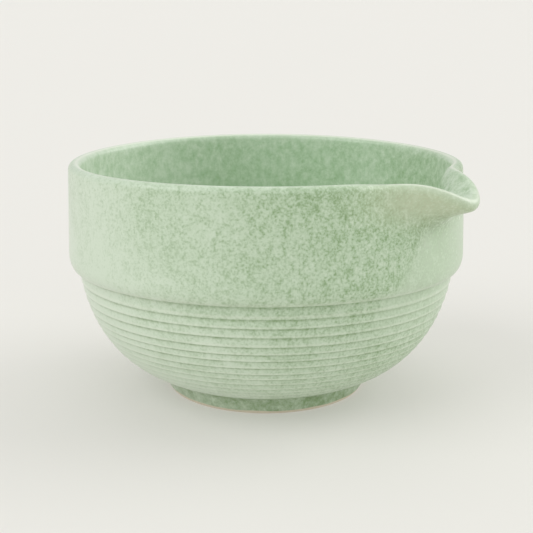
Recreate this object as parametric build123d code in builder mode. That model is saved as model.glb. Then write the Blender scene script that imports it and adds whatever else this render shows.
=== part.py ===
from build123d import *
from math import cos, exp, radians, sin, tan
import os

# Spouted stoneware bowl: the fired clay body, the glaze coat melted over it and
# the patch of glaze inside the foot ring. Sizes are in millimetres, measured on
# the glazed surface. The origin is the centre of the foot's standing edge, +Z is
# up the axis of the bowl and +X points along the spout.

# Bowl
bowl_height = 75.0          # table to the top of the lip
band_radius = 62.9          # widest point, at the foot of the upright band
band_lean = 1.6             # degrees that the band leans in towards the lip
inner_lean = 5.0            # degrees that the inside wall opens out towards the lip
shoulder_height = 41.0      # table to the underside of the shoulder
shoulder_drop = 5.0         # height of the shoulder's rounded edge
shoulder_round = 2.5        # how far that rounded edge turns in
shoulder_step = 3.0         # band to the top of the belly
lip_thickness = 3.9
floor_height = 9.0          # table to the inside floor, on the axis

# Belly curve, from the foot up to the shoulder
belly_start_angle = 18.0    # degrees above level where it leaves the foot
belly_end_angle = 84.0      # degrees above level where it meets the shoulder
belly_start_pull = 0.41     # handles of the curve, as parts of its chord
belly_end_pull = 0.32

# Turned steps around the belly
step_pitch = 2.7
step_depth = 0.45
first_step = 3.5            # shoulder to the first groove, along the belly
plain_belly = 7.0           # left smooth above the foot, along the belly

# Foot ring
foot_radius = 30.5          # outside, at the standing edge
foot_height = 4.7
foot_flare = 1.2            # how much wider the ring is at its top
foot_ring_width = 4.6       # standing edge, across
foot_recess_depth = 4.0
foot_recess_round = 1.6
foot_cove = (1.4, 1.7)      # small cove between ring and belly: out, up

# Inside curve, from the floor to the upright wall
bowl_curve_height = 47.0    # where the inside wall becomes straight
floor_pull = 0.64           # handles of the curve, as parts of its radius and rise
wall_pull = 0.86

# Glaze
glaze_thickness = 0.35
bare_edge_height = 0.8      # bare clay left above the standing edge
plug_inset = 2.0            # keeps the trimming tool inside the foot ring's clay

# Spout: pulled out in the middle and pinched in on both sides
spout_reach = 12.5          # lip moved outwards at the tip
spout_dip = 5.0             # lip moved down at the tip
spout_depth = 19.5          # lip to where the wall starts to change
spout_spread = 45.0         # degrees each side where the wall is plain again
pinch_angle = 17.0          # degrees each side where the lip crosses its circle
pull_width = 15.0           # degrees, width of the pulled part
dip_width = 8.0             # degrees, width of the dip in the lip
lean_width = 18.0           # degrees, width of the outward lean
upright_angle = 23.0        # degrees each side where the wall no longer leans out
tip_angle = 21.0            # degrees above level that the channel points at its tip
root_pull = 0.50            # handles of the wall's curve, as parts of its chord
outer_lip_pull = 0.42
inner_lip_pull = 0.42
spout_sections = 25
seam_tolerance = 0.001

lip_radius = lip_thickness / 2
outer_angle = 90.0 + band_lean
inner_angle = 90.0 - inner_lean
belly_radius = band_radius - shoulder_step
band_foot = Vector(band_radius, shoulder_height + shoulder_drop)
spout_root_height = bowl_height - spout_depth
foot_inner_radius = foot_radius - foot_ring_width


def heading(angle):
    """Unit vector in an upright plane, this many degrees above level."""
    return Vector(cos(radians(angle)), sin(radians(angle)))


def outward(angle):
    """Unit vector square to a wall that runs up at this angle, away from the clay."""
    return Vector(sin(radians(angle)), -cos(radians(angle)))


def upright_plane(angle):
    """Plane through the bowl's axis, turned by this angle from the spout."""
    across = (cos(radians(angle)), sin(radians(angle)), 0)
    normal = (sin(radians(angle)), -cos(radians(angle)), 0)
    return Plane(origin=(0, 0, 0), x_dir=across, z_dir=normal)


def at_height(point, angle, height):
    """Where the line through a point, at this angle, reaches this height."""
    return point + heading(angle) * ((height - point.Y) / sin(radians(angle)))


def spout_shape(angle):
    """Pull, dip and lean of the lip at an angle from the spout, 1 at its middle.

    Each is a bell curve. The pull crosses zero at the pinch angle and the lean at the
    upright angle, so that past them the lip turns slightly inwards, and a fade
    brings all three to nothing.
    """
    fade = max(0.0, 1 - (angle / spout_spread) ** 4) ** 2
    pull = (1 - (angle / pinch_angle) ** 2) * exp(-((angle / pull_width) ** 2))
    dip = exp(-((angle / dip_width) ** 2))
    lean = (1 - (angle / upright_angle) ** 2) * exp(-((angle / lean_width) ** 2))
    return pull * fade, dip * fade, lean * fade


def wall_section(angle, inset):
    """Upper wall in one upright plane: outer curve, top of the lip, inner curve.

    The lip is round. Both curves leave the wall along its own line and run
    smoothly into the lip, so they are straight where nothing is pulled.
    """
    pull, dip, lean = spout_shape(angle)
    lip_line = band_foot - outward(outer_angle) * lip_radius
    rest = at_height(lip_line, outer_angle, bowl_height - lip_radius)
    centre = rest + Vector(spout_reach * pull, -spout_dip * dip)
    turn = (outer_angle - tip_angle) * lean
    outer_end = outer_angle - turn
    inner_end = inner_angle - turn
    outer_foot = band_foot - outward(outer_angle) * inset
    inner_foot = rest - outward(inner_angle) * (lip_radius - inset)
    outer_root = at_height(outer_foot, outer_angle, spout_root_height)
    inner_root = at_height(inner_foot, inner_angle, spout_root_height)
    outer_lip = centre + outward(outer_end) * (lip_radius - inset)
    inner_lip = centre - outward(inner_end) * (lip_radius - inset)
    lip_top = centre + heading((outer_end + inner_end) / 2) * (lip_radius - inset)
    outer_chord = (outer_lip - outer_root).length
    inner_chord = (inner_lip - inner_root).length
    outer_curve = [
        outer_root,
        outer_root + heading(outer_angle) * (root_pull * outer_chord),
        outer_lip - heading(outer_end) * (outer_lip_pull * outer_chord),
        outer_lip,
    ]
    inner_curve = [
        inner_lip,
        inner_lip - heading(inner_end) * (inner_lip_pull * inner_chord),
        inner_root + heading(inner_angle) * (root_pull * inner_chord),
        inner_root,
    ]
    return outer_curve, lip_top, inner_curve


def foot_points(inset):
    """Standing edge, foot ring side and cove, from the bottom up."""
    ring_top = Vector(foot_radius + foot_flare, foot_height)
    cove_top = ring_top + Vector(*foot_cove)
    return [Vector(foot_radius - inset, 0), ring_top - Vector(inset, 0), cove_top]


def belly_points(inset):
    """Turned steps up the belly: each band flares out to a sharp lower edge."""
    start = foot_points(0)[-1]
    end = Vector(belly_radius, shoulder_height)
    chord = (end - start).length
    belly = Bezier(
        start,
        start + heading(belly_start_angle) * (belly_start_pull * chord),
        end - heading(belly_end_angle) * (belly_end_pull * chord),
        end,
        mode=Mode.PRIVATE,
    )
    groove_count = 1 + int((belly.length - first_step - plain_belly) / step_pitch)
    grooves = [belly.length - first_step - step_pitch * i for i in range(groove_count)]

    def on_belly(along, depth):
        share = min(1.0, max(0.0, along / belly.length))
        tangent = belly.tangent_at(share)
        return belly.position_at(share) - Vector(tangent.Y, -tangent.X) * (depth + inset)

    smooth = [plain_belly * i / 4 for i in range(5)]
    points = [on_belly(along, 0) for along in smooth]
    for groove in reversed(grooves):
        points.append(on_belly(groove + inset, step_depth))
        points.append(on_belly(groove + inset, 0))
    points.append(on_belly(belly.length, step_depth))
    return points


def bowl_outline(inset, with_recess):
    """Half section of the whole bowl, from the axis under the foot to the axis inside."""
    outer_curve, lip_top, inner_curve = wall_section(spout_spread, inset)
    foot = foot_points(inset)
    belly = belly_points(inset)
    band_start = band_foot - outward(outer_angle) * inset
    shoulder_low = Vector(band_radius - shoulder_round, shoulder_height + inset)
    curve_top = at_height(inner_curve[3], inner_angle, bowl_curve_height)
    floor_centre = Vector(0, floor_height - inset)
    wall_handle = heading(inner_angle) * (wall_pull * (curve_top.Y - floor_centre.Y))
    floor_handle = Vector(floor_pull * curve_top.X, 0)
    if with_recess:
        underside = [
            Vector(0, foot_recess_depth),
            Vector(foot_inner_radius, foot_recess_depth),
            Vector(foot_inner_radius, 0),
        ]
    else:
        underside = [Vector(0, 0)]
    Polyline(*underside, *foot[:2], *belly, shoulder_low)
    EllipticalCenterArc(
        center=(shoulder_low.X, band_start.Y),
        x_radius=band_start.X - shoulder_low.X,
        y_radius=band_start.Y - shoulder_low.Y,
        start_angle=270,
        arc_size=90,
    )
    Line(band_start, outer_curve[0])
    Bezier(*outer_curve)
    ThreePointArc(outer_curve[3], lip_top, inner_curve[0])
    Bezier(*inner_curve)
    Line(inner_curve[3], curve_top)
    Bezier(curve_top, curve_top - wall_handle, floor_centre + floor_handle, floor_centre)
    Line(floor_centre, underside[0])


def bowl_form(inset, with_recess):
    """Bowl turned about its axis, its wall at the spout replaced by a loft of wall sections.

    The two meet along circles that the loft only follows to a few nanometres, so
    they are joined with a tolerance, which a builder's own fuse has no way to take.
    """
    with BuildPart() as turned_bowl:
        with BuildSketch(Plane.XZ):
            with BuildLine():
                bowl_outline(inset, with_recess)
            make_face()
        revolve(axis=Axis.Z)
        with BuildSketch(Plane.XY.offset(spout_root_height)):
            far = 2 * band_radius
            side = far * tan(radians(spout_spread))
            Polygon((0, 0), (far, -side), (far, side), align=None)
        extrude(amount=spout_depth, mode=Mode.SUBTRACT)
    with BuildPart() as spout_wall:
        for i in range(spout_sections):
            angle = spout_spread * (2 * i / (spout_sections - 1) - 1)
            outer_curve, lip_top, inner_curve = wall_section(angle, inset)
            with BuildSketch(upright_plane(angle)):
                with BuildLine():
                    Bezier(*outer_curve)
                    ThreePointArc(outer_curve[3], lip_top, inner_curve[0])
                    Bezier(*inner_curve)
                    Line(inner_curve[3], outer_curve[0])
                make_face()
        loft()
    return turned_bowl.part.fuse(spout_wall.part, tol=seam_tolerance)


os.makedirs("parts", exist_ok=True)

with BuildPart() as clay_body:
    add(bowl_form(glaze_thickness, with_recess=True))
    recess_corner = clay_body.edges().filter_by(GeomType.CIRCLE).filter_by(
        lambda edge: abs(edge.center().Z - foot_recess_depth) < 0.01
        and abs(edge.radius - foot_inner_radius) < 0.01
    )
    fillet(recess_corner, radius=foot_recess_round)
clay_body.part.label = "clay_body"
export_step(clay_body.part, "parts/clay_body.step")

with BuildPart() as glaze_coat:
    add(bowl_form(0, with_recess=False))
    add(clay_body.part, mode=Mode.SUBTRACT)
    with BuildSketch(Plane.XY):
        Circle(2 * foot_radius)
    extrude(amount=bare_edge_height, mode=Mode.SUBTRACT)
    with BuildSketch(Plane.XY):
        Circle(foot_inner_radius + plug_inset)
    extrude(amount=foot_recess_depth + plug_inset, mode=Mode.SUBTRACT)
glaze_coat.part.label = "glaze_coat"
export_step(glaze_coat.part, "parts/glaze_coat.step")

with BuildPart() as foot_recess_glaze:
    with BuildSketch(Plane.XY.offset(bare_edge_height)):
        Circle(foot_inner_radius)
    extrude(amount=foot_recess_depth - bare_edge_height)
    fillet(foot_recess_glaze.edges().group_by(Axis.Z)[-1], radius=foot_recess_round)
    underside = foot_recess_glaze.faces().sort_by(Axis.Z)[0]
    offset(amount=-glaze_thickness, openings=underside)
foot_recess_glaze.part.label = "foot_recess_glaze"
export_step(foot_recess_glaze.part, "parts/foot_recess_glaze.step")
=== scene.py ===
import bpy
import numpy as np
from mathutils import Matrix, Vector


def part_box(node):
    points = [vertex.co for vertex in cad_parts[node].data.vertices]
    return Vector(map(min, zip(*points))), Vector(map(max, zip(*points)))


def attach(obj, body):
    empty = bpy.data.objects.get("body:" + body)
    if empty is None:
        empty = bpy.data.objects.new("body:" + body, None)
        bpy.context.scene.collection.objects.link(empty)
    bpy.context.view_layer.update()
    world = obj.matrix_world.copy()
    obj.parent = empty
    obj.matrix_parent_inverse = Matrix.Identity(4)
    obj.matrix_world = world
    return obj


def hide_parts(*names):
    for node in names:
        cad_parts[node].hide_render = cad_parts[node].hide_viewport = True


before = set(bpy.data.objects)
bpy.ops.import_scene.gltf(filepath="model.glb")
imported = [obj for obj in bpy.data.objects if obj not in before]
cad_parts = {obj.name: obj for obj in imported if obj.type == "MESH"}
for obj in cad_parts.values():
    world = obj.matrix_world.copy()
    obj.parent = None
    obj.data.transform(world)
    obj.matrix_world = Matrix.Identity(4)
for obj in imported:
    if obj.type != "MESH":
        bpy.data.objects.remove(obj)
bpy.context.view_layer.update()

# A small hand-held stoneware bowl with a pulled pouring spout, in speckled sage glaze.
# Lengths are in millimetres until a mesh is made, angles in radians unless a name says
# degrees. +Z is up the bowl's axis and +X points along the spout.

MM = 0.001


def node_box(node):
    """Lowest and highest corner of a part of the frame, in millimetres."""
    low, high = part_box(node)
    return np.array(low) / MM, np.array(high) / MM


glaze_low, glaze_high = node_box("glaze_coat")
clay_high = node_box("clay_body")[1]
recess_low, recess_high = node_box("foot_recess_glaze")

# Sizes from the frame
bowl_height = glaze_high[2]
band_radius = glaze_high[1]
bare_edge = glaze_low[2]                  # bare clay above the standing edge
glaze_thickness = glaze_high[1] - clay_high[1]
foot_inner_radius = recess_high[1]
recess_depth = recess_high[2]

# Wall and lip
band_lean = np.radians(1.6)
inner_lean = np.radians(5.0)
lip_radius = 1.95
shoulder_height = 41.0
shoulder_drop = 5.0
shoulder_round = 2.5
shoulder_step = 3.0
floor_height = 9.0
bowl_curve_height = 47.0
floor_pull = 0.64
wall_pull = 0.86

# Belly curve and its turned rings
belly_start_angle = np.radians(18.0)
belly_end_angle = np.radians(84.0)
belly_start_pull = 0.41
belly_end_pull = 0.32
ring_count = 14
ring_pitch = 2.74
first_ring = 4.1                          # shoulder to the first groove, along the belly
ring_depth = 0.50
ring_edge = 0.90                          # share of a ring's height where its face ends
ring_slack = 0.55                         # how far the fourth and fifth groove drifted down
slack_middle, slack_spread = 3.4, 2.2     # counted in grooves
ring_jitter = 0.16
ring_sway = 0.14
depth_upper, depth_lower = 0.85, 1.3      # shares of the depth, first and last groove
depth_mean, depth_sway = 0.88, 0.30       # and round each groove
plain_run = 2.0                           # over which the last groove fades out

# Foot ring
foot_radius = 31.7
foot_height = 4.0
foot_flare = 1.2
foot_cove = (1.4, 1.7)
standing_round = 0.45
recess_round = 1.6
trim_pitch, trim_depth = 3.1, 0.05        # spiral left by the trimming tool in the recess

# Lower edges of the glaze
edge_wander = 0.25                        # how far up the edge strays, each way
recess_edge_wander = 0.30
edge_roll = 0.15                          # drop of the rolled edge
overlap = 0.02                            # glaze and clay share this much, so no gap opens

# Spout
spout_reach = 12.4
spout_dip = 5.1
near_dip = 0.9                            # one flank of the spout sags a little
spout_depth = 19.5
spout_spread = np.radians(45.0)
pinch_angle = np.radians(17.0)
pull_width = np.radians(15.0)
dip_width = np.radians(7.4)
lean_width = np.radians(18.0)
upright_angle = np.radians(23.0)
near_dip_angle = np.radians(-18.0)
near_dip_width = np.radians(8.0)
tip_angle = np.radians(21.0)
root_pull = 0.50
lip_pull = 0.42
tip_fullness = 0.28                       # added to the lip's radius at the tip
fullness_width = np.radians(14.0)

# Finger marks: the pinches stand into the bowl below the lip, and a ridge with a hollow
# beside it makes a crease below the spout
pinch_push = 1.5
pinch_place = np.radians(21.0), 69.5      # angle, height
pinch_size = np.radians(5.5), 3.6
crease_push = 0.95
ridge_place = np.radians(-13.0), 60.0
ridge_size = np.radians(6.0), 5.0
hollow_place = np.radians(-2.0), 58.5
hollow_size = np.radians(5.0), 5.5

# What the hand and the kiln did to it
rim_warp = 0.45                           # the rim rises and falls twice round the bowl
warp_angle = np.radians(38.0)
wall_sway = 0.08
side_swell = 0.3                          # where the wall stands a little further out
swell_width = np.radians(30.0)

outer_angle = np.pi / 2 + band_lean
inner_angle = np.pi / 2 - inner_lean
spout_root = bowl_height - spout_depth
belly_radius = band_radius - shoulder_step
columns = 240

# Zones of the glaze: lengths from the lip's crest, angles round from the spout
crest_line = 0.6                          # half width of the worn line on the lip
crest_shift = 0.5                         # and how far inside the crest it lies
tip_wear = 0.55                           # less worn at the tip of the spout
tip_wear_width = np.radians(13.0)
rim_strength = 0.6
rim_inside, rim_outside = 2.6, 1.6        # how far the paler rim reaches each way
lit_patch_strength = 0.75                       # painted light: paler wall past the spout's crease
lit_patch_slant = np.radians(0.6)               # its edge leans by this for each millimetre down
lit_patch_start, lit_patch_full = np.radians(-9.0), np.radians(-3.0)
lit_patch_fade, lit_patch_end = np.radians(40.0), np.radians(75.0)
lit_patch_below_crest = 12.0, 19.0              # where it starts and is full
lit_patch_above_table = 20.0, 40.0
drawn_angle, drawn_width = np.radians(-9.0), np.radians(15.0)
drawn_below_crest = 17.0, 6.0             # stain of the pulled flank: none, full
shoulder_wear = 0.3                       # worn line just above the shoulder's edge
wear_height, wear_width = 0.5, 0.7
foot_pool_and_shade, cove_width = 0.9, 1.2          # glaze pools on the foot, and most in its cove; the darker foot is partly painted shade under the belly


def heading(angle):
    """Unit vectors (out, up) at these angles above level."""
    return np.stack([np.cos(angle), np.sin(angle)], -1)


def outward(angle):
    """Unit vectors square to a wall running up at these angles, away from the clay."""
    return np.stack([np.sin(angle), -np.cos(angle)], -1)


def at_height(point, angle, height):
    """Where the line through a point, at this angle, reaches this height."""
    run = (height - point[..., 1]) / np.sin(angle)
    return point + heading(angle) * run[..., None]


def bezier(points, share):
    """Cubic curve (1-t)^3 a + 3(1-t)^2 t b + 3(1-t) t^2 c + t^3 d, one row for each t."""
    t = np.asarray(share).reshape(-1, *[1] * np.ndim(points[0]))
    a, b, c, d = points
    return (1 - t) ** 3 * a + 3 * (1 - t) ** 2 * t * b + 3 * (1 - t) * t**2 * c + t**3 * d


def ease(value, low, high):
    """Smooth step from 0 at low to 1 at high: 3t^2 - 2t^3."""
    t = np.clip((value - low) / (high - low), 0, 1)
    return t * t * (3 - 2 * t)


def ripple(angle, orders, seed):
    """Closed waviness round the bowl: cosines of whole orders, seeded, within -1 to 1."""
    draw = np.random.default_rng(seed)
    phase = draw.uniform(0, 2 * np.pi, len(orders))
    weight = draw.uniform(0.5, 1.0, len(orders))
    waves = np.cos(np.multiply.outer(angle, orders) + phase) * weight
    return waves.sum(-1) / weight.sum()


# Angles round the bowl, half as far apart at the spout as a plain division would give
even_angle = np.arange(columns) * 2 * np.pi / columns
angles = even_angle - 0.5 * np.sin(even_angle)
angles_signed = (angles + np.pi) % (2 * np.pi) - np.pi


def spout_shape(angle):
    """Pull, dip and lean of the lip, 1 at the spout's middle, each a bell curve about it.

    The pull crosses zero at the pinch angle and the lean at the upright angle, past which
    the lip turns slightly inwards. A fade takes all three to nothing at the spread angle.
    """
    fade = np.maximum(0, 1 - (angle / spout_spread) ** 4) ** 2
    pull = (1 - (angle / pinch_angle) ** 2) * np.exp(-((angle / pull_width) ** 2))
    dip = np.exp(-((angle / dip_width) ** 2))
    lean = (1 - (angle / upright_angle) ** 2) * np.exp(-((angle / lean_width) ** 2))
    return pull * fade, dip * fade, lean * fade


def wall_curves(inset):
    """Upper wall in each upright plane: outer curve, lip circle's sweep and inner curve.

    The lip is a circle moved out, down and turned by the spout's shape. Each curve is a
    cubic that leaves the plain wall along its own line and runs tangent into the lip.
    """
    pull, dip, lean = spout_shape(angles_signed)
    band_foot = np.array([band_radius, shoulder_height + shoulder_drop])
    lip_line = band_foot - outward(outer_angle) * lip_radius
    rest = at_height(lip_line, outer_angle, bowl_height - lip_radius)
    sag = near_dip * np.exp(-(((angles_signed - near_dip_angle) / near_dip_width) ** 2))
    fuller = tip_fullness * np.exp(-((angles_signed / fullness_width) ** 2))
    radius = (lip_radius + fuller - inset)[:, None]
    centre = rest + np.stack([spout_reach * pull - fuller, -spout_dip * dip - sag - fuller], -1)
    turn = (outer_angle - tip_angle) * lean
    outer_end, inner_end = outer_angle - turn, inner_angle - turn
    foot_of_band = band_foot - outward(outer_angle) * inset
    inner_foot = rest - outward(inner_angle) * (lip_radius - inset)
    outer_root = at_height(foot_of_band, outer_angle, spout_root) + 0 * centre
    inner_root = at_height(inner_foot, inner_angle, spout_root) + 0 * centre
    outer_lip = centre + outward(outer_end) * radius
    inner_lip = centre - outward(inner_end) * radius
    outer_chord = np.linalg.norm(outer_lip - outer_root, axis=-1)[:, None]
    inner_chord = np.linalg.norm(inner_lip - inner_root, axis=-1)[:, None]
    outer = (
        outer_root,
        outer_root + heading(outer_angle) * root_pull * outer_chord,
        outer_lip - heading(outer_end) * lip_pull * outer_chord,
        outer_lip,
    )
    inner = (
        inner_lip,
        inner_lip - heading(inner_end) * lip_pull * inner_chord,
        inner_root + heading(inner_angle) * root_pull * inner_chord,
        inner_root,
    )
    return outer, (centre, radius, outer_end - np.pi / 2, inner_end + np.pi / 2), inner


def belly_curve():
    """Belly from the foot's cove to the shoulder: a cubic, as even steps along its length."""
    start = np.array([foot_radius + foot_flare + foot_cove[0], foot_height + foot_cove[1]])
    end = np.array([belly_radius, shoulder_height])
    chord = np.linalg.norm(end - start)
    handles = (
        start,
        start + heading(belly_start_angle) * belly_start_pull * chord,
        end - heading(belly_end_angle) * belly_end_pull * chord,
        end,
    )
    points = bezier(handles, np.linspace(0, 1, 2000))
    along = np.concatenate([[0], np.cumsum(np.linalg.norm(np.diff(points, axis=0), axis=1))])
    return points, along


belly_points, belly_along = belly_curve()
belly_length = belly_along[-1]


def on_belly(along, depth):
    """Points at these lengths along the belly, this deep under its surface."""
    out = np.interp(along, belly_along, belly_points[:, 0])
    up = np.interp(along, belly_along, belly_points[:, 1])
    step = 0.05
    out_next = np.interp(along + step, belly_along, belly_points[:, 0])
    up_next = np.interp(along + step, belly_along, belly_points[:, 1])
    out_last = np.interp(along - step, belly_along, belly_points[:, 0])
    up_last = np.interp(along - step, belly_along, belly_points[:, 1])
    slope = np.arctan2(up_next - up_last, out_next - out_last)
    return np.stack([out, up], -1) - outward(slope) * depth[..., None]


def groove_lines():
    """Length along the belly of each groove, at every angle.

    Even steps, which drift by the slack about one groove and then jitter and sway.
    """
    draw = np.random.default_rng(11)
    place = np.arange(ring_count)
    station = belly_length - first_ring - ring_pitch * place
    station -= ring_slack * np.exp(-(((place - slack_middle) / slack_spread) ** 2))
    station += draw.uniform(-ring_jitter, ring_jitter, ring_count)
    sway = np.stack([ripple(angles, np.arange(1, 7), 40 + i) for i in place])
    shoulder_line = np.full((1, columns), belly_length)
    return np.concatenate([shoulder_line, station[:, None] + ring_sway * sway])


def groove_depths():
    """How deep each groove was cut, at every angle: uneven along its round, deeper lower down."""
    sway = [ripple(angles, np.array([1, 2, 3, 5, 8, 13]), 80 + i) for i in range(ring_count + 1)]
    lower = np.linspace(depth_upper, depth_lower, ring_count + 1)[:, None]
    return ring_depth * lower * (depth_mean + depth_sway * np.stack(sway))


def ring_profile(share):
    """Depth of a turned ring from its top, 0, to its lower edge, and back in under it at 1.

    From the groove above, the face comes out in a straight line to its lower edge, which
    rolls over and goes back in along a short ledge.
    """
    face = 1 - share / ring_edge
    ledge = ease(share, ring_edge, 1.0)
    return np.where(share < ring_edge, face, ledge)


def turned_rings(inset, shares):
    """Belly from the shoulder down: the rings, then the plain run above the foot.

    Returns the points and, for each, how thin the glaze has run on an edge and how deep
    it has pooled in a groove or above the foot, a darkening that is partly painted shade,
    from 0 to 1.
    """
    lines, depths = groove_lines(), groove_depths()
    rows, thin, pooled_and_shaded = [], [], []
    for i in range(ring_count):
        top, bottom = lines[i], lines[i + 1]
        share = shares[:, None]
        along = top + (bottom - top) * share
        start_depth = depths[i] * ring_profile(share)
        end_depth = depths[i + 1] * ring_profile(share)
        depth = np.where(share < ring_edge, start_depth, end_depth)
        rows.append(on_belly(along, depth + inset))
        thin.append(0.45 * np.exp(-(((share - 0.78) / 0.08) ** 2)) + 0 * along)
        # Darker under each ring's edge and in its groove: pooled glaze, and partly painted shade
        dark = ease(share, 0.86, 0.97) + 0.9 * ease(share, 0.32, 0.0)
        pooled_and_shaded.append((0.65 + 0.04 * i) * dark + 0 * along)
    fall = np.linspace(0, 1, 9)[:, None]
    along = lines[-1] * (1 - fall)
    depth = depths[-1] * (1 - ease(lines[-1] - along, 0, plain_run))
    rows.append(on_belly(along, depth + inset))
    thin.append(0 * along)
    # Darker at the last groove and on towards the foot's cove: pooled glaze, and partly painted
    # shade under the belly
    pooled_and_shaded.append(np.exp(-(((lines[-1] - along) / 0.5) ** 2)) + 0.8 * ease(fall, 0.72, 1.0))
    return np.concatenate(rows), np.concatenate(thin), np.concatenate(pooled_and_shaded)


def inside_curve(inset, shares, inner_root):
    """Inside from the floor's centre to the spout's root: a cubic, then the straight wall."""
    curve_top = at_height(inner_root, inner_angle, bowl_curve_height)
    centre = np.zeros_like(curve_top) + [0, floor_height - inset]
    wall_handle = heading(inner_angle) * wall_pull * (bowl_curve_height - floor_height + inset)
    floor_handle = curve_top * [floor_pull, 0]
    curve = bezier((centre, centre + floor_handle, curve_top - wall_handle, curve_top), shares)
    straight = np.linspace(0.25, 1, 4)[:-1, None, None]
    return np.concatenate([curve, curve_top + (inner_root - curve_top) * straight])


def lip_sweep(circle, shares):
    """Round of the lip, from its inner side over the top to its outer side."""
    centre, radius, outer_from, inner_to = circle
    turn = inner_to + (outer_from - inner_to) * shares[:, None]
    return centre + heading(turn) * radius


def shoulder_arc(inset, shares):
    """Lower edge of the band: a quarter ellipse from the upright wall in to the belly."""
    start = np.array([band_radius, shoulder_height + shoulder_drop]) - outward(outer_angle) * inset
    low = np.array([band_radius - shoulder_round, shoulder_height + inset])
    turn = np.pi / 2 * shares[:, None]
    reach = start - low
    out = low[0] + reach[0] * np.cos(turn)
    up = start[1] - reach[1] * np.sin(turn)
    return np.stack([out, up], -1) + np.zeros((len(shares), columns, 2))


def foot_side(inset, shares, end_height):
    """Cove under the belly and the side of the foot ring, down to a height at each angle."""
    top = np.array([foot_radius + foot_flare, foot_height])
    cove_top = top + foot_cove
    side = top - [inset, 0]
    knee = 0.9
    handles = (
        cove_top + [-0.3 * inset, 0.9 * inset],
        side + [0.4 * knee, 0.9 * knee],
        side,
        side - [0.12, knee],
    )
    fillet = bezier(handles, np.linspace(0, 1, 8)[1:])[:, None, :] + np.zeros((7, columns, 2))
    last = fillet[-1]
    slope = foot_flare / foot_height
    height = last[:, 1] + (end_height - last[:, 1]) * shares[:, None]
    out = last[:, 0] - slope * (last[:, 1] - height)
    return np.concatenate([fillet, np.stack([out, height], -1)])


def hand_shaped(section):
    """Turns sections into points in space, with the small unevenness of a thrown bowl.

    The upper part has warped in the kiln: its height follows -cos 2(angle - warp), full
    from the shoulder up and fading down the belly. It has also settled, by the height of
    the warp down at the lip and up at the shoulder, so the lip stays under its height.
    The wall sways inwards by up to 0.16 mm and stands a little further out on one side.
    """
    out, up = section[..., 0], section[..., 1]
    grow = ease(up, foot_height, shoulder_height)
    below_lip = np.clip((bowl_height - up) / (bowl_height - shoulder_height), 0, 1)
    settle = rim_warp * (1 - 2 * below_lip)
    up = up - grow * (rim_warp * np.cos(2 * (angles - warp_angle)) + settle)
    sway = wall_sway * (ripple(angles, np.array([2, 3, 5]), 3) - 1)
    swell = side_swell * grow * np.exp(-(((angles_signed - warp_angle) / swell_width) ** 2))
    out = out * (1 + (sway + swell) / band_radius)
    return np.stack([out * np.cos(angles), out * np.sin(angles), up], -1)


def closed_skin(name, rings, marks):
    """Closed mesh through rings of points, whose first and last ring shrink to the axis.

    Quads join each ring to the next, and a fan closes each end, all facing outwards.
    marks holds one number for each point, kept on the mesh under its name.
    """
    first, last = rings[0].mean(0), rings[-1].mean(0)
    middle = rings[1:-1]
    rows, across = middle.shape[:2]
    vertices = np.concatenate([[first], middle.reshape(-1, 3), [last]]) * MM
    index = 1 + np.arange(rows * across).reshape(rows, across)
    beside = np.roll(index, -1, axis=1)
    quads = np.stack([index[:-1], index[1:], beside[1:], beside[:-1]], -1).reshape(-1, 4)
    end = len(vertices) - 1
    start_fan = np.stack([np.zeros(across, int), index[0], beside[0]], -1)
    end_fan = np.stack([np.full(across, end), beside[-1], index[-1]], -1)
    mesh = bpy.data.meshes.new(name)
    mesh.from_pydata(vertices.tolist(), [], quads.tolist() + start_fan.tolist() + end_fan.tolist())
    mesh.polygons.foreach_set("use_smooth", np.ones(len(mesh.polygons), bool))
    for mark, values in marks.items():
        flat = np.concatenate([[values[0].mean()], values[1:-1].ravel(), [values[-1].mean()]])
        layer = mesh.attributes.new(mark, "FLOAT", "POINT")
        layer.data.foreach_set("value", np.clip(flat, 0, 1).astype(np.float32))
    mesh.update()
    piece = bpy.data.objects.new(name, mesh)
    bpy.context.scene.collection.objects.link(piece)
    return piece


def finger_marks(up, within):
    """How far the potter's fingers moved the wall outwards at each point, in millimetres.

    Each mark is a bell in angle times a bell in height. The pinches move the inner wall
    only, and the ridge and the hollow beside it move the outer wall only.
    """
    def bell(angle, place, size):
        around = (angle - place[0]) / size[0]
        above = (up - place[1]) / size[1]
        return np.exp(-(around ** 2)) * np.exp(-(above ** 2))

    pinch = bell(np.abs(angles_signed), pinch_place, pinch_size)
    ridge = bell(angles_signed, ridge_place, ridge_size)
    hollow = bell(angles_signed, hollow_place, hollow_size)
    return crease_push * (ridge - hollow) * (1 - within) - pinch_push * pinch * within


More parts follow.
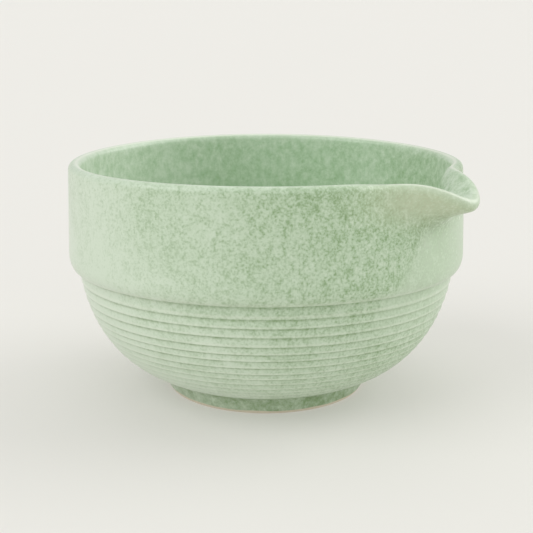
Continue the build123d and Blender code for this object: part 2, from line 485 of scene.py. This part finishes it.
def glaze_marks(section, rows, lip_shares, belly_thin, belly_pooled_and_shaded):
    """What the glaze does at each point of a section, each mark from 0 to 1.

    thin is worn or run off an edge, the pooling mark is deep glaze and, in the grooves and on
    the foot, partly painted shade, within is the inside, pulled is the stained flank of the
    spout, and rim is paler: thinner glaze on the lip, and past the spout's crease painted light.
    """
    up = section[..., 1]
    step = np.linalg.norm(np.diff(section, axis=0), axis=-1)
    length = np.concatenate([np.zeros((1, columns)), np.cumsum(step, axis=0)])
    crest_row = (rows["lip"].start + rows["lip"].stop) // 2 - 1
    from_crest = length - length[crest_row]

    thin, pooled_and_shaded, within = np.zeros((3, *up.shape))
    thin[rows["belly"]] = belly_thin
    worn = 1 - tip_wear * np.exp(-((angles_signed / tip_wear_width) ** 2))
    thin = np.maximum(thin, worn * np.exp(-(((from_crest + crest_shift) / crest_line) ** 2)))
    above_edge = (up[rows["shoulder"]] - shoulder_height - wear_height) / wear_width
    thin[rows["shoulder"]] += shoulder_wear * np.exp(-(above_edge ** 2))

    pooled_and_shaded[rows["belly"]] = belly_pooled_and_shaded
    # Darker foot, most in the cove under the belly: pooled glaze, and partly painted shade
    cove = np.exp(-(((up[rows["foot"]] - foot_height - 1) / cove_width) ** 2))
    pooled_and_shaded[rows["foot"]] = foot_pool_and_shade + (1 - foot_pool_and_shade) * cove

    within[rows["inside"]] = 1
    within[rows["inner_wall"]] = 1
    within[rows["lip"]] = 1 - lip_shares[:, None]

    inner_side = np.exp(-((np.minimum(from_crest, 0) / rim_inside) ** 4))
    outer_side = np.exp(-((np.maximum(from_crest, 0) / rim_outside) ** 2))
    # Past the spout's crease a paler patch is painted: painted light. The paler lip band is
    # thinner glaze.
    slanted = angles_signed + lit_patch_slant * (ridge_place[1] - up)
    lit_patch = ease(slanted, lit_patch_start, lit_patch_full) * ease(angles_signed, lit_patch_end, lit_patch_fade)
    lit_patch = lit_patch_strength * lit_patch * ease(from_crest, *lit_patch_below_crest) * ease(up, *lit_patch_above_table)
    rim = np.maximum(rim_strength * inner_side * outer_side, lit_patch)

    drawn = np.exp(-(((angles_signed - drawn_angle) / drawn_width) ** 2))
    pulled = drawn * ease(from_crest, *drawn_below_crest) * (1 - within)
    return {"thin": thin, "pooled_and_shaded": pooled_and_shaded, "within": within, "pulled": pulled, "rim": rim}


def bowl_section(inset, detail, end_height):
    """Half section at every angle, from the inside floor over the lip down to the foot.

    detail scales how many points each stretch gets. Returns the section and its marks.
    """
    def spread(count):
        return np.linspace(0, 1, max(3, round(count * detail)))

    ring_shares = np.array([0, 0.05, 0.12, 0.25, 0.42, 0.6, 0.76, 0.85, 0.9, 0.925, 0.95, 0.975])
    if detail < 1:
        ring_shares = np.array([0, 0.45, 0.86, 0.93])
    outer, circle, inner = wall_curves(inset)
    band_end = shoulder_arc(inset, np.zeros(1))[0]
    belly, belly_thin, belly_pooled_and_shaded = turned_rings(inset, ring_shares)
    parts = {
        "inside": inside_curve(inset, spread(34) ** 0.9, inner[3]),
        "inner_wall": bezier(inner, 1 - spread(16))[:-1],
        "lip": lip_sweep(circle, spread(18)),
        "outer_wall": bezier(outer, 1 - spread(18))[1:],
        "band": outer[0] + (band_end - outer[0]) * spread(7)[1:-1, None, None],
        "shoulder": shoulder_arc(inset, spread(14) ** 0.8),
        "belly": belly,
        "foot": foot_side(inset, spread(8)[1:], end_height),
    }
    section = np.concatenate(list(parts.values()))
    rows, start = {}, 0
    for name, part in parts.items():
        rows[name] = slice(start, start + len(part))
        start += len(part)
    marks = glaze_marks(section, rows, spread(18), belly_thin, belly_pooled_and_shaded)
    section[..., 0] += finger_marks(section[..., 1], marks["within"])
    return section, marks


def glaze_shell():
    """Glaze over the whole bowl: its surface, its rolled bare edge at the foot, and its back."""
    wander = ripple(angles, np.array([2, 3, 5, 8, 13, 21]), 5)
    edge_height = bare_edge + edge_wander * (1 + wander)
    front, marks = bowl_section(0, 1, edge_height + edge_roll)
    back, back_marks = bowl_section(glaze_thickness - overlap, 0.4, edge_height + edge_roll)
    roll = np.linspace(0, 1, 5)[1:-1, None, None]
    middle = (front[-1] + back[-1]) / 2
    half = (front[-1] - back[-1]) / 2
    drop = np.zeros_like(half) - [0, edge_roll]
    rolled = middle + half * np.cos(np.pi * roll) + drop * np.sin(np.pi * roll)
    section = np.concatenate([front, rolled, back[::-1]])
    both = {}
    for mark in marks:
        edge_rows = np.repeat(marks[mark][-1:], 3, axis=0)
        both[mark] = np.concatenate([marks[mark], edge_rows, back_marks[mark][::-1]])
    return closed_skin("glaze", hand_shaped(section), both)


def clay_solid():
    """Fired clay under the glaze, with its bare standing ring and the recess inside it."""
    wall = bowl_section(glaze_thickness, 0.4, np.full(columns, standing_round))[0]
    outer_edge = wall[-1, :, 0]
    turn = np.linspace(0, np.pi / 2, 6)[1:, None]
    corner_out = outer_edge - standing_round + standing_round * np.cos(turn)
    corner_up = standing_round - standing_round * np.sin(turn)
    outer_corner = np.stack([corner_out, corner_up + 0 * corner_out], -1)
    ring_share = np.linspace(0, 1, 5)[1:, None]
    inner_flat = foot_inner_radius + standing_round
    flat_out = outer_corner[-1, :, 0] + (inner_flat - outer_corner[-1, :, 0]) * ring_share
    flat = np.stack([flat_out, 0 * flat_out], -1)
    inner_corner = recess_profile(0, columns)
    section = np.concatenate([wall, outer_corner, flat, inner_corner])
    return closed_skin("stoneware_body", hand_shaped(section), {})


def recess_profile(cover, across):
    """Recess under the foot, from the standing ring to the axis, with glaze of this cover."""
    turn = np.linspace(0, np.pi / 2, 7)[:, None]
    radius = foot_inner_radius - cover
    depth = recess_depth - cover
    rounding = recess_round - cover
    low = np.stack([
        foot_inner_radius + standing_round * (1 - np.sin(turn)),
        standing_round * (1 - np.cos(turn)),
    ], -1)
    corner = np.stack([
        radius - rounding + rounding * np.cos(turn),
        depth - rounding + rounding * np.sin(turn),
    ], -1)
    across_ceiling = (radius - rounding) * np.linspace(1, 0, 24)[1:, None]
    ceiling = np.stack([across_ceiling, depth + 0 * across_ceiling], -1)
    rows = [corner, ceiling] if cover else [low[1:], corner, ceiling]
    profile = np.concatenate(rows)
    return profile + np.zeros((len(profile), across, 2))


def recess_glaze():
    """Patch of glaze inside the foot ring: its hidden back, its edge and its visible face."""
    wander = ripple(angles, np.array([2, 3, 5, 8, 13]), 6)
    edge_height = recess_low[2] + recess_edge_wander * (1 + wander)
    back = recess_profile(overlap, columns)[::-1]
    face = recess_profile(glaze_thickness, columns)
    trim = trim_depth * np.cos(2 * np.pi * face[..., 0] / trim_pitch + angles)
    face[..., 1] -= trim * ease(face[..., 0], 24, 20) * ease(face[..., 0], 0, 4) + trim_depth
    edge = np.stack([
        np.stack([back[-1, :, 0], edge_height + edge_roll], -1),
        np.stack([(back[-1, :, 0] + face[0, :, 0]) / 2, edge_height], -1),
        np.stack([face[0, :, 0], edge_height + edge_roll], -1),
    ])
    section = np.concatenate([back, edge, face])
    level = np.zeros(section.shape[:2])
    rim = np.exp(-(((section[..., 1] - edge_height) / 0.6) ** 2))
    marks = dict.fromkeys(("thin", "pooled_and_shaded", "within", "pulled", "rim"), level)
    marks["thin"], marks["pooled_and_shaded"] = 0.8 * rim, level + 0.3
    return closed_skin("recess_glaze", hand_shaped(section), marks)


class Field:
    """One output of a shader node, which takes part in sums as a number does."""

    def __init__(self, material, socket):
        self.material, self.socket = material, socket

    def math(self, operation, *values):
        sockets = dict(enumerate(values))
        return self.material.node("ShaderNodeMath", {"operation": operation}, sockets)

    def __add__(self, other):
        return self.math("ADD", self, other)

    def __sub__(self, other):
        return self.math("SUBTRACT", self, other)

    def __rsub__(self, other):
        return self.math("SUBTRACT", other, self)

    def __mul__(self, other):
        return self.math("MULTIPLY", self, other)

    __radd__, __rmul__ = __add__, __mul__

    def limited(self):
        """The same value, kept between 0 and 1."""
        return self.material.node("ShaderNodeClamp", {}, {0: self})

    def step(self, low, high):
        """Smooth step from 0 at low to 1 at high."""
        settings = {"interpolation_type": "SMOOTHSTEP"}
        return self.material.node("ShaderNodeMapRange", settings, {0: self, 1: low, 2: high})


class Finish:
    """A material under construction, with its main shader."""

    def __init__(self, name):
        self.made = bpy.data.materials.new(name)
        self.made.use_nodes = True
        self.tree = self.made.node_tree
        self.shader = self.tree.nodes["Principled BSDF"]
        self.place = self.node("ShaderNodeTexCoord", {}, {}, output="Object")

    def node(self, kind, settings, sockets, output=0):
        """Adds a node: its settings first, then the values or links of its inputs."""
        made = self.tree.nodes.new(kind)
        for setting, value in settings.items():
            setattr(made, setting, value)
        for socket, value in sockets.items():
            if isinstance(value, Field):
                self.tree.links.new(value.socket, made.inputs[socket])
            else:
                made.inputs[socket].default_value = value
        return Field(self, made.outputs[output])

    def noise(self, size, detail=2.0, roughness=0.5, stretch=(1, 1, 1)):
        """Soft noise whose features are about this many millimetres, stretched by axis."""
        place = self.node("ShaderNodeMapping", {}, {0: self.place, 3: [1 / s for s in stretch]})
        sockets = {"Vector": place, "Scale": 1 / (size * MM)}
        sockets |= {"Detail": detail, "Roughness": roughness}
        return self.node("ShaderNodeTexNoise", {}, sockets)

    def along(self, direction):
        """A point's distance from the middle of the foot towards a side, in band radii.

        The distance is multiplied by the length of the side's vector.
        """
        sockets = {0: self.place, 1: direction}
        dot = self.node("ShaderNodeVectorMath", {"operation": "DOT_PRODUCT"}, sockets, output=1)
        return dot * (1 / (band_radius * MM))

    def mark(self, name):
        """A number that the mesh keeps at each point."""
        return self.node("ShaderNodeAttribute", {"attribute_name": name}, {}, output="Fac")

    def blend(self, factor, first, second):
        """Colour between two others."""
        sockets = {0: factor, 6: first, 7: second}
        return self.node("ShaderNodeMix", {"data_type": "RGBA"}, sockets, output=2)

    def set(self, **values):
        """Values or links of the main shader's sockets, spaces written as underscores."""
        for name, value in values.items():
            socket = self.shader.inputs[name.replace("_", " ")]
            if isinstance(value, Field):
                self.tree.links.new(value.socket, socket)
            else:
                socket.default_value = value

    def bump(self, height, reach, strength=1.0):
        """Surface relief from a height of 0 to 1, this many millimetres high."""
        sockets = {"Height": height, "Distance": reach * MM, "Strength": strength}
        return self.node("ShaderNodeBump", {}, sockets)


def colour(red, green, blue):
    """A colour from its 0 to 255 display values, as linear light."""
    shown = np.array([red, green, blue]) / 255
    linear = np.where(shown <= 0.04045, shown / 12.92, ((shown + 0.055) / 1.055) ** 2.4)
    return [*linear.tolist(), 1.0]


sage_pale = colour(206, 220, 200)
sage = colour(168, 193, 158)
inside_shade_green = colour(138, 178, 132)
groove_green = colour(98, 129, 68)
fleck_green = colour(116, 146, 96)
cream = colour(228, 232, 218)
khaki = colour(204, 211, 182)
bare_clay = colour(217, 209, 190)
bare_clay_dark = colour(206, 196, 174)
grit_dark = colour(188, 168, 144)

# Sizes of the glaze's mottle in millimetres, and the sides painted darker: outside towards
# the viewer's right and upwards, a thicker coat and partly painted shade; inside, the far wall,
# painted shade
cloud_size = 22.0
mottle_size = 2.6
grain_size = 0.75
coat_and_shade_side = (np.cos(warp_angle), np.sin(warp_angle), 0.8)
inner_shade_side = (-np.sin(warp_angle), np.cos(warp_angle), 0.0)


def sage_glaze():
    """Satin sage glaze: mottled ground, green flecks, paler on edges, deeper where it pools, with
    painted shade to one side, inside and on the foot, and painted light below the spout.
    """
    finish = Finish("sage_glaze")
    thin, pooled_and_shaded, rim = finish.mark("thin"), finish.mark("pooled_and_shaded"), finish.mark("rim")
    within, pulled = finish.mark("within"), finish.mark("pulled")
    # Darker and greener towards the viewer's right and upwards: a thicker coat there, and partly
    # painted shade
    heavy_coat_and_shade = (finish.along(coat_and_shade_side) * 0.5 + 0.14).limited()
    # Inside, growing towards the far wall: painted shade
    far_wall_shade = finish.along(inner_shade_side).limited()
    cloud = finish.noise(cloud_size, 2.0, 0.5) - 0.5
    mottle = finish.noise(mottle_size, 3.0, 0.75, (1, 1, 1.1)) - 0.5
    grain = finish.noise(grain_size, 2.0, 0.7) - 0.5

    # The ground is greener and more broken where the coat is thick, which also paints shade to the
    # viewer's right and light to the left, and calmer inside
    contrast = heavy_coat_and_shade * heavy_coat_and_shade * heavy_coat_and_shade * (1.9 - within * 1.6) + 0.42 + within * 0.3
    texture = (mottle * 2.5 + grain * (2.5 - within * 1.9)) * contrast
    body = heavy_coat_and_shade * (1.2 - within * 0.95) + within * 0.2
    base = finish.blend((texture * 0.62 + cloud * 0.8 + body).limited(), sage_pale, sage)
    # Deeper green inside, most on the far wall: painted shade
    base = finish.blend((within * (far_wall_shade * 0.5 + mottle)).limited(), base, inside_shade_green)
    fleck = (mottle * 1.7 + grain * (2.5 - within * 1.4) + cloud * 0.7).step(-0.22, 0.85)
    base = finish.blend(fleck * (heavy_coat_and_shade * (1.1 - within * 0.75) + 0.08), base, fleck_green)

    # Pools (partly painted shade in the grooves and on the foot), the pulled flank, the rim (past
    # the spout's crease, painted light) and last the worn edges, over the ground
    base = finish.blend((pooled_and_shaded * (0.5 + mottle * 1.5)).limited(), base, groove_green)
    base = finish.blend((pulled * (0.6 + grain * 0.8)).limited(), base, khaki)
    base = finish.blend((rim * (0.45 + texture * 0.4)).limited(), base, sage_pale)
    base = finish.blend((thin * (0.75 + grain)).limited() * 0.9, base, cream)
    finish.set(Base_Color=base, Roughness=0.36 + grain * 0.25)
    finish.set(Coat_Weight=0.25, Coat_Roughness=0.18)
    relief = grain * 0.4 + finish.noise(2.4, 2.0) * 0.6
    finish.set(Normal=finish.bump(relief, 0.03))
    return finish.made


def bare_stoneware():
    """Unglazed fired clay: warm, matt and gritty."""
    finish = Finish("bare_stoneware")
    grit = finish.noise(0.5, 4.0, 0.7)
    patch = finish.noise(6.0, 2.0)
    base = finish.blend((patch * 0.8).limited(), bare_clay, bare_clay_dark)
    base = finish.blend(grit.step(0.58, 0.7) * 0.6, base, grit_dark)
    finish.set(Base_Color=base, Roughness=0.8 + grit * 0.15)
    finish.set(Normal=finish.bump(grit, 0.06))
    return finish.made


glaze_finish = sage_glaze()
clay_finish = bare_stoneware()

glaze = glaze_shell()
glaze.data.materials.append(glaze_finish)
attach(glaze, "root")
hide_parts("glaze_coat")

body = clay_solid()
body.data.materials.append(clay_finish)
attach(body, "root")
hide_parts("clay_body")

patch = recess_glaze()
patch.data.materials.append(glaze_finish)
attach(patch, "root")
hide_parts("foot_recess_glaze")


# The floor in metres: rings from the middle, and how far each lies above the table
floor_reach = np.array([6.0, 9.0, 14.0, 22.0])
floor_rise = np.array([0.0, 0.12, 0.6, 1.8])
floor_sides = 96
floor_glow = 0.32


def pale_floor():
    """Plain pale floor, level for six metres and then rising a little all round."""
    finish = Finish("pale_floor")
    finish.set(Base_Color=colour(189, 188, 184), Roughness=0.9, Specular_IOR_Level=0.1)
    finish.set(Emission_Color=colour(240, 238, 232), Emission_Strength=floor_glow)
    turn = np.linspace(0, 2 * np.pi, floor_sides, endpoint=False)
    level = [np.outer(floor_reach, np.cos(turn)), np.outer(floor_reach, np.sin(turn))]
    rings = np.stack([*level, np.outer(floor_rise, np.ones(floor_sides))], -1)
    index = 1 + np.arange(rings[..., 0].size).reshape(rings.shape[:2])
    beside = np.roll(index, -1, axis=1)
    middle = np.stack([np.zeros(floor_sides, int), index[0], beside[0]], -1)
    outer = np.stack([index[:-1], index[1:], beside[1:], beside[:-1]], -1).reshape(-1, 4)
    points = [(0, 0, 0)] + rings.reshape(-1, 3).tolist()
    mesh = bpy.data.meshes.new("floor")
    mesh.from_pydata(points, [], middle.tolist() + outer.tolist())
    mesh.polygons.foreach_set("use_smooth", np.ones(len(mesh.polygons), bool))
    mesh.materials.append(finish.made)
    floor = bpy.data.objects.new("floor", mesh)
    bpy.context.scene.collection.objects.link(floor)


# Where the viewer stands
view_side = np.radians(38.0)              # round from the spout's left
view_distance = 342.5
view_height = 121.7
view_pitch = np.radians(13.62)
view_lens = 72.98
view_shift = 0.0015


def place_camera():
    """Camera at the viewing angle, its frame upright, looking a little down at the bowl."""
    data = bpy.data.cameras.new("camera")
    data.sensor_width = 36.0
    data.lens = view_lens
    data.shift_x = view_shift
    data.clip_start, data.clip_end = 0.01, 100.0
    camera = bpy.data.objects.new("camera", data)
    out = np.array([np.sin(view_side), -np.cos(view_side)]) * view_distance
    camera.location = Vector((out[0], out[1], view_height)) * MM
    camera.rotation_euler = (np.pi / 2 - view_pitch, 0, view_side)
    bpy.context.scene.collection.objects.link(camera)
    bpy.context.scene.camera = camera


def soft_light(name, bearing, elevation, spread, strength, tint):
    """Broad distant light, placed by its bearing from the viewer's, all angles in degrees."""
    data = bpy.data.lights.new(name, "SUN")
    data.angle = np.radians(spread)
    data.energy, data.color = strength, tint
    light = bpy.data.objects.new(name, data)
    turn, rise = view_side + np.radians(bearing), np.radians(elevation)
    away = Vector((np.sin(turn) * np.cos(rise), -np.cos(turn) * np.cos(rise), np.sin(rise)))
    light.location = away * 2.0
    light.rotation_euler = away.to_track_quat("Z", "Y").to_euler()
    bpy.context.scene.collection.objects.link(light)


def light_studio():
    """White surroundings and four broad lights: above and behind, left, right and low front."""
    world = bpy.data.worlds.new("surroundings")
    world.use_nodes = True
    background = world.node_tree.nodes["Background"]
    background.inputs["Color"].default_value = (1.0, 1.0, 0.99, 1.0)
    background.inputs["Strength"].default_value = 0.58
    bpy.context.scene.world = world
    soft_light("overhead", 175, 66, 60, 0.45, (1.0, 0.99, 0.98))
    soft_light("left_window", -62, 38, 50, 1.0, (1.0, 1.0, 1.0))
    soft_light("right_back", 106, 28, 50, 1.2, (1.0, 0.99, 0.98))
    soft_light("low_front", 20, 18, 50, 0.40, (1.0, 1.0, 0.99))
    bpy.context.scene.view_settings.view_transform = "Standard"


pale_floor()
place_camera()
light_studio()
